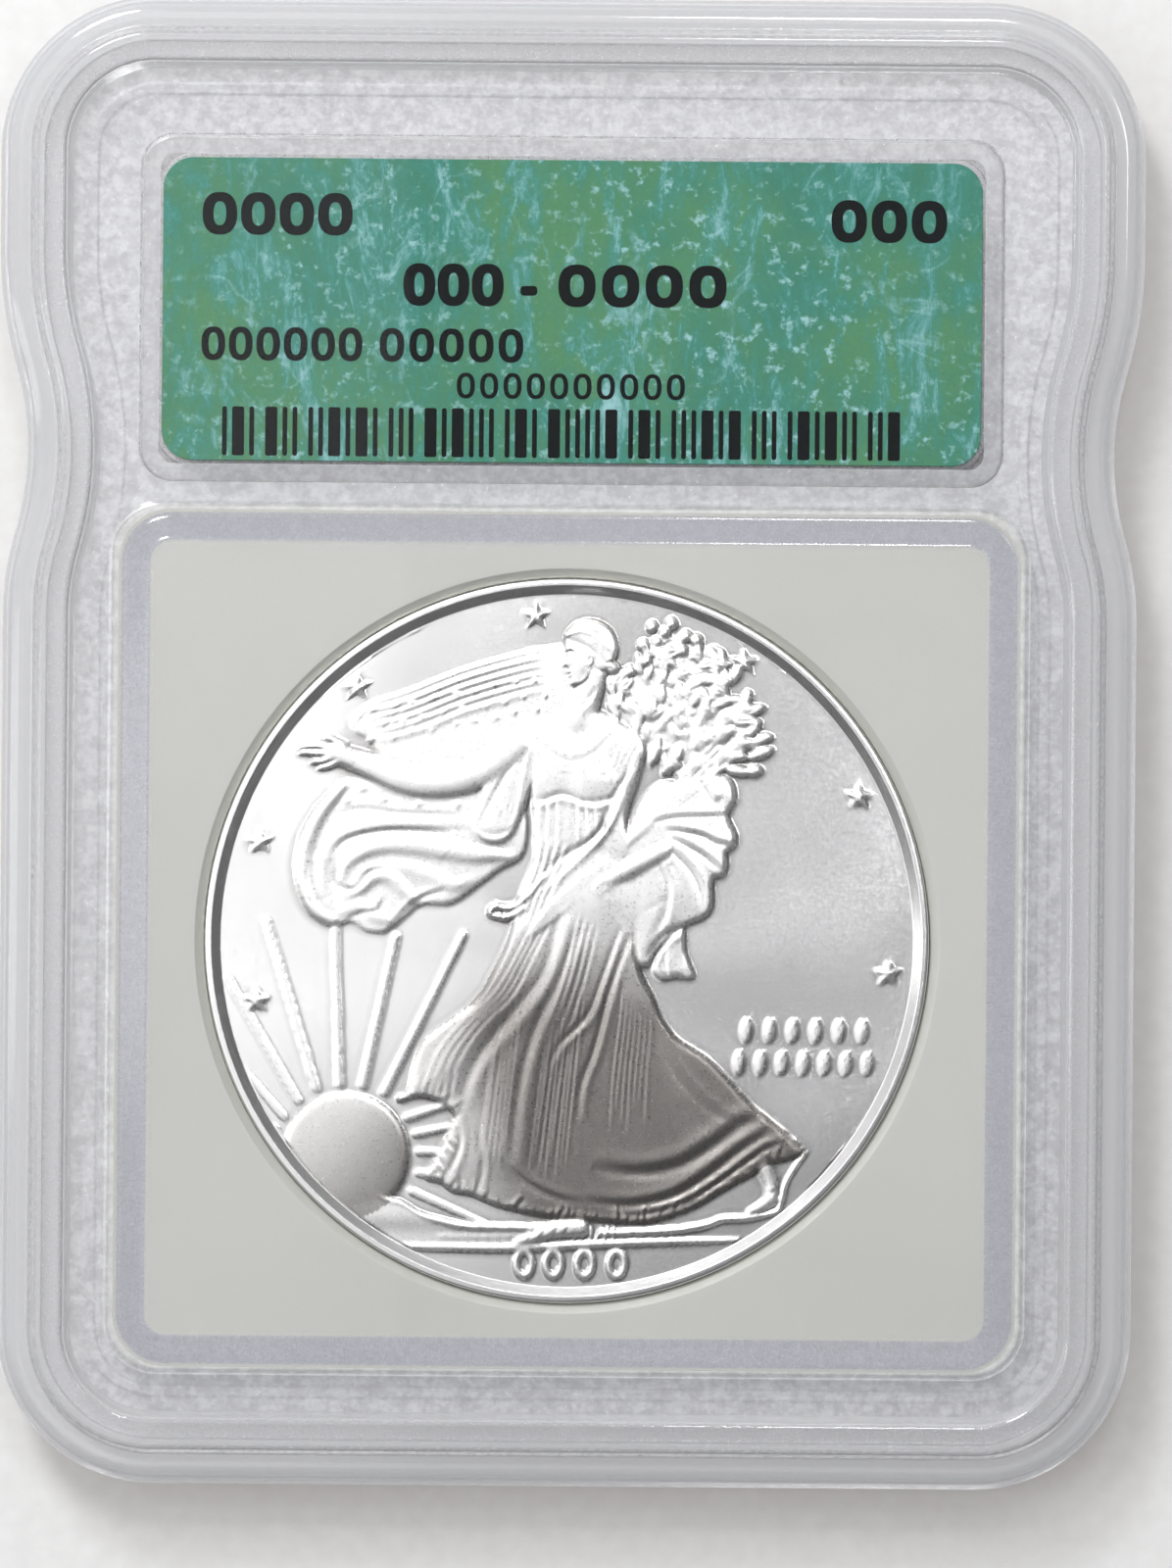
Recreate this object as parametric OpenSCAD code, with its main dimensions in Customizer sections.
// Graded coin slab: two clear shells welded round a coin, its insert and its label card.
// The slab lies on its back: X runs across it, +Y is the label end and +Z comes out of the front face.
// The origin is the centre of the rear rest plane. All sizes are in millimetres.

/* [Slab] */
// Width across the coin end
slab_w = 63.6; // [62.6:0.2:66]
// Height from the coin edge to the label edge
slab_h = 83.4; // [83:0.2:86]
// Thickness over the front rim and the rear rim
slab_t = 8; // [7.8:0.1:9]
// Radius of the outer corners
corner_r = 8.8; // [7:0.2:9.6]

/* [Waist] */
// Extra width of the label end, on each side
label_flare = 0.3; // [0:0.1:0.6]
// Radius of the hollow of the waist, which also sets its depth
waist_r = 16.5; // [16.5:0.5:18]

/* [Rims] */
// Height of the outer shoulder below the top of the front rim
shoulder_drop = 1.1; // [0.9:0.1:1.3]
// Height of the front land below the top of the front rim
land_drop = 1.4; // [1.2:0.1:1.6]
// Depth of the stacking recess in the rear face
stack_depth = 1.3; // [1.2:0.1:1.5]

/* [Coin window] */
// Width of the flat of the raised window
window_w = 47.2; // [46:0.2:48]
// Height of the flat of the raised window
window_h = 44.7; // [44:0.1:46]
// Corner radius of the flat of the raised window
window_r = 1.3; // [1:0.1:3]
// Width of the bevel round the window
bevel_w = 1.3; // [0.8:0.1:1.5]
// Height of the window above the land
bevel_h = 0.6; // [0.4:0.05:0.8]

/* [Coin] */
// Diameter of the coin
coin_d = 40.6; // [38:0.1:41]
// Thickness of the coin over its rims
coin_t = 2.98; // [2:0.02:3.1]
// Width of the coin's rim
coin_rim_w = 0.9; // [0.6:0.1:1.5]
// Depth of the coin's field below its rim
coin_field_drop = 0.38; // [0.1:0.02:0.5]

/* [Insert] */
// Width of the insert
insert_w = 51.2; // [50:0.2:51.4]
// Height of the insert
insert_h = 48.5; // [48:0.1:48.8]
// Radial running clearance of the coin in its seat
seat_gap = 0.06; // [0.03:0.01:0.1]

/* [Label] */
// Width of the label card
label_w = 46; // [44:0.2:46.4]
// Height of the label card
label_h = 17; // [16:0.2:17.2]
// Corner radius of the label card
label_r = 1.7; // [1:0.1:2.5]

/* [Hidden] */
$fn = 96;
cut = 1;                                   // how far a cutter runs past what it cuts

half_h = slab_h / 2;
coin_half_w = slab_w / 2;
label_half_w = coin_half_w + label_flare;

// Levels
front_z = slab_t;                          // top of the front rim
shoulder_z = front_z - shoulder_drop;
land_z = front_z - land_drop;              // front land
window_z = land_z + bevel_h;
rear_land_z = stack_depth;
rear_window_z = rear_land_z - bevel_h;
split_z = slab_t / 2;                      // where the two shells meet
shut_gap = 0.06;                           // shut line between the shells
wall = 1.4;                                // thickness of the front windows and of the platform
rear_wall = 1.6;                           // thickness of the rear window
bevel_root = 0.1;                          // how far a raised window is sunk into its land
bevel_overlap = 0.2;                       // how far its bevel runs in under its flat
front_base_z = split_z + shut_gap / 2;
rear_top_z = split_z - shut_gap / 2;

// Section of the rims, as distances in from the edge
side_r = 1.2;                              // rounding of the front shoulder
foot_r = 0.9;                              // rounding of the rear foot
foot_flat = 0.55;
foot_slope = 0.4;
crest_from = 1.8;                          // outer foot of the crest
crest_to = 4.15;                           // inner foot of the crest
crest_flank = 0.3;
crest_r = 0.4;
side_steps = 6;                            // flats in each rounded edge
crest_steps = 3;
plate_from = 4;                            // the flat plate overlaps the swept rim from here in

// Tongue, groove and the weld between them
tongue_from = 2.4;
tongue_w = 1;
tongue_l = 1.4;
tongue_z = split_z - tongue_l;
weld_t = 0.2;
groove_gap = 0.25;
groove_z = tongue_z - weld_t;

// Coin cavity
coin_y = -11.1;
cavity_w = 51.7;
cavity_h = 49;
cavity_r = 3;
cavity_top = window_z - wall;
cavity_base = rear_window_z + rear_wall;

// Insert and the seat in it
insert_r = 2.8;
insert_gap = 0.05;                         // play under the insert
insert_top_gap = 0.1;
insert_base = cavity_base + insert_gap;
insert_top = cavity_top - insert_top_gap;
seat_r = coin_d / 2 + seat_gap;
lip_w = 0.8;                               // how far the lip reaches under the coin
lip_t = 0.3;
seat_chamfer = 0.5;
coin_lift = 0.02;                          // play between the coin and the lip
coin_base = insert_base + lip_t + coin_lift;
coin_edge_chamfer = 0.12;

// Label pocket, the platform that the card lies on and the well behind it
label_y = 24.2;
pocket_w = 48.4;
pocket_h = 19.5;
pocket_r = 1.9;
pocket_top = land_z - wall;
pocket_floor_t = 1.3;
pocket_floor = rear_land_z + pocket_floor_t;
platform_margin = 0.35;
card_room = 0.6;                           // height between the platform and the pocket's ceiling
platform_z = pocket_top - card_room;
well_side = 1.3;                           // thickness of the platform's sides, round the well
well_r = 1;
foil_w = 36;
foil_h = 12;
foil_t = 0.08;
foil_r = 1;
card_t = 0.28;
card_base = platform_z + foil_t;

// Waist: a hollow arc blended to each straight side by a round one. The arcs meet on lines at the
// angle of a 7-24-25 triangle, so that every point where they touch is a round number.
waist_y = 16.2;                            // height of the narrowest point above the slab's middle
waist_dir = [0.96, 0.28];
waist_depth = 2 * waist_r * (1 - waist_dir.x);
waist_c = [coin_half_w - waist_depth + waist_r, waist_y];
lower_r = waist_r;
upper_r = (waist_depth + label_flare) / (1 - waist_dir.x) - waist_r;
lower_c = waist_c - (waist_r + lower_r) * waist_dir;
upper_c = waist_c + (waist_r + upper_r) * [-waist_dir.x, waist_dir.y];
wedge_l = 40;

module both_sides() {
    children();
    mirror([1, 0, 0]) children();
}

module rounded(w, h, r) {
    square([w - 2 * r, h], center = true);
    square([w, h - 2 * r], center = true);
    for (x = [-1, 1], y = [-1, 1])
        translate([x * (w / 2 - r), y * (h / 2 - r)]) circle(r);
}

module slice(z_from, z_to) {
    translate([0, 0, z_from]) linear_extrude(z_to - z_from) children();
}

// One end of the slab's outline, from the waist to the end, with its two rounded corners
module end_plan(half_w, y_end, r) {
    way = sign(y_end - waist_y);
    reach = abs(y_end - waist_y);
    translate([0, waist_y + way * (reach - r) / 2]) square([2 * half_w, reach - r], center = true);
    translate([0, waist_y + way * reach / 2]) square([2 * (half_w - r), reach], center = true);
    both_sides() translate([half_w - r, y_end - way * r]) circle(r);
}

// What the waist takes out of the right side of the outline drawn inset in from the edge
module waist_cut(inset) {
    translate(waist_c) circle(waist_r + inset);
    difference() {
        translate([waist_c.x - waist_dir.x * (waist_r + inset), lower_c.y])
            square([waist_r, upper_c.y - lower_c.y]);
        translate(lower_c) circle(lower_r - inset);
        translate(upper_c) circle(upper_r - inset);
    }
}

// The slab's outline, inset from its edge
module plan(inset) {
    difference() {
        union() {
            end_plan(coin_half_w - inset, -half_h + inset, corner_r - inset);
            end_plan(label_half_w - inset, half_h - inset, corner_r - inset);
        }
        both_sides() waist_cut(inset);
    }
}

// Carry a section along a straight or round an arc. In the section, x is the distance in from the
// edge and y is the height. The way round is anticlockwise, so that the inside is on the left.
module run(from, to) {
    way = to - from;
    translate(from) rotate([0, 0, atan2(way.y, way.x)])
        rotate([90, 0, 90]) linear_extrude(norm(way)) children();
}

module corner(centre, r, start) {
    translate(centre) rotate([0, 0, start])
        rotate_extrude(angle = 90) translate([r, 0]) mirror([1, 0]) children();
}

// An arc between two directions from its centre. A round arc has the slab on its inside.
module arc_sweep(centre, r, from, to, round_side = true) {
    translate(centre) intersection() {
        rotate_extrude() translate([r, 0]) mirror([round_side ? 1 : 0, 0]) children();
        linear_extrude(slab_t) polygon([[0, 0], wedge_l * from, wedge_l * to]);
    }
}

// Carry a section all the way round the slab's outline
module sweep_outline() {
    down = [waist_dir.x, -waist_dir.y];
    both_sides() {
        run([0, -half_h], [coin_half_w - corner_r, -half_h]) children();
        corner([coin_half_w - corner_r, -half_h + corner_r], corner_r, -90) children();
        run([coin_half_w, -half_h + corner_r], [coin_half_w, lower_c.y]) children();
        arc_sweep(lower_c, lower_r, [1, 0], waist_dir) children();
        arc_sweep(waist_c, waist_r, -down, -waist_dir, round_side = false) children();
        arc_sweep(upper_c, upper_r, down, [1, 0]) children();
        run([label_half_w, upper_c.y], [label_half_w, half_h - corner_r]) children();
        corner([label_half_w - corner_r, half_h - corner_r], corner_r, 0) children();
        run([label_half_w - corner_r, half_h], [0, half_h]) children();
    }
}

// Carry a section all the way round a rounded rectangle
module sweep_rounded(w, h, r) {
    for (side = [0, 1]) rotate(180 * side) {
        run([r - w / 2, -h / 2], [w / 2 - r, -h / 2]) children();
        corner([w / 2 - r, r - h / 2], r, -90) children();
        run([w / 2, r - h / 2], [w / 2, h / 2 - r]) children();
        corner([w / 2 - r, h / 2 - r], r, 0) children();
    }
}

// The raised window: a flat with a bevel round it. It grows from z_base by rise, which may be negative.
module window_block(z_base, rise) {
    base_r = window_r + bevel_w;
    root = -sign(rise) * bevel_root;
    inside = bevel_w + bevel_overlap;
    translate([0, coin_y, 0]) {
        slice(min(z_base + root, z_base + rise), max(z_base + root, z_base + rise))
            rounded(window_w, window_h, window_r);
        sweep_rounded(window_w + 2 * bevel_w, window_h + 2 * bevel_w, base_r)
            polygon([[0, z_base], [bevel_w, z_base + rise], [inside, z_base + rise],
                     [inside, z_base + root], [0, z_base + root]]);
    }
}

// Points of an arc about c, from one angle to another
function arc(c, r, from, to, steps) =
    [for (i = [0:steps]) c + r * [cos(from + (to - from) * i / steps), sin(from + (to - from) * i / steps)]];

module front_rim_section() {
    polygon(concat(
        [[0, front_base_z]],
        arc([side_r, shoulder_z - side_r], side_r, 180, 90, side_steps),
        [[crest_from, shoulder_z]],
        arc([crest_from + crest_flank + crest_r, front_z - crest_r], crest_r, 160, 90, crest_steps),
        arc([crest_to - crest_flank - crest_r, front_z - crest_r], crest_r, 90, 20, crest_steps),
        [[crest_to, land_z],
         [crest_to, front_base_z],
         [tongue_from + tongue_w, front_base_z],
         [tongue_from + tongue_w, tongue_z],
         [tongue_from, tongue_z],
         [tongue_from, front_base_z]]));
}

module rear_rim_section() {
    foot_in = foot_r + foot_flat;
    groove_from = tongue_from - groove_gap;
    groove_to = tongue_from + tongue_w + groove_gap;
    polygon(concat(
        [[0, rear_top_z]],
        arc([foot_r, foot_r], foot_r, 180, 270, side_steps),
        [[foot_in, 0],
         [foot_in + foot_slope, rear_land_z],
         [crest_to, rear_land_z],
         [crest_to, rear_top_z],
         [groove_to, rear_top_z],
         [groove_to, groove_z],
         [groove_from, groove_z],
         [groove_from, rear_top_z]]));
}

module front_shell() {
    color([0.9, 0.91, 0.95, 0.35]) difference() {
        union() {
            sweep_outline() front_rim_section();
            slice(front_base_z, land_z) plan(plate_from);
            window_block(land_z, bevel_h);
        }
        translate([0, coin_y, 0]) slice(tongue_z, cavity_top) rounded(cavity_w, cavity_h, cavity_r);
        translate([0, label_y, 0]) slice(tongue_z, pocket_top) rounded(pocket_w, pocket_h, pocket_r);
    }
}

module rear_shell() {
    platform_w = label_w + 2 * platform_margin;
    platform_h = label_h + 2 * platform_margin;
    color([0.86, 0.88, 0.93, 0.35]) difference() {
        union() {
            difference() {
                union() {
                    sweep_outline() rear_rim_section();
                    slice(rear_land_z, rear_top_z) plan(plate_from);
                    window_block(rear_land_z, -bevel_h);
                }
                translate([0, coin_y, 0])
                    slice(cavity_base, front_z) rounded(cavity_w, cavity_h, cavity_r);
                translate([0, label_y, 0])
                    slice(pocket_floor, front_z) rounded(pocket_w, pocket_h, pocket_r);
            }
            translate([0, label_y, 0])
                slice(rear_land_z, platform_z)
                    rounded(platform_w, platform_h, label_r + platform_margin);
        }
        translate([0, label_y, 0])
            slice(-cut, platform_z - wall)
                rounded(platform_w - 2 * well_side, platform_h - 2 * well_side, well_r);
    }
}

module weld_seam() {
    color([0.97, 0.97, 1, 0.6])
        sweep_outline() translate([tongue_from, groove_z]) square([tongue_w, weld_t]);
}

module coin_insert() {
    color([0.77, 0.78, 0.75]) translate([0, coin_y, 0]) difference() {
        slice(insert_base, insert_top) rounded(insert_w, insert_h, insert_r);
        translate([0, 0, insert_base - cut])
            cylinder(r = seat_r - lip_w, h = insert_top - insert_base + 2 * cut);
        translate([0, 0, insert_base + lip_t])
            cylinder(r = seat_r, h = insert_top - insert_base);
        translate([0, 0, insert_top - seat_chamfer])
            cylinder(r1 = seat_r, r2 = seat_r + seat_chamfer + cut, h = seat_chamfer + cut);
    }
}

// Half of the coin's section, from the centre to the edge, is turned about the coin's axis
module coin() {
    r = coin_d / 2;
    rim = r - coin_rim_w;
    color([0.78, 0.77, 0.75]) translate([0, coin_y, coin_base])
        rotate_extrude() polygon([
            [0, coin_field_drop],
            [rim - coin_field_drop, coin_field_drop],
            [rim, 0],
            [r - coin_edge_chamfer, 0],
            [r, coin_edge_chamfer],
            [r, coin_t - coin_edge_chamfer],
            [r - coin_edge_chamfer, coin_t],
            [rim, coin_t],
            [rim - coin_field_drop, coin_t - coin_field_drop],
            [0, coin_t - coin_field_drop]]);
}

module grade_label() {
    color([0.35, 0.6, 0.5]) translate([0, label_y, 0])
        slice(card_base, card_base + card_t) rounded(label_w, label_h, label_r);
}

module security_foil() {
    color([0.8, 0.82, 0.86]) translate([0, label_y, 0])
        slice(platform_z, platform_z + foil_t) rounded(foil_w, foil_h, foil_r);
}

front_shell();
rear_shell();
weld_seam();
coin_insert();
coin();
grade_label();
security_foil();
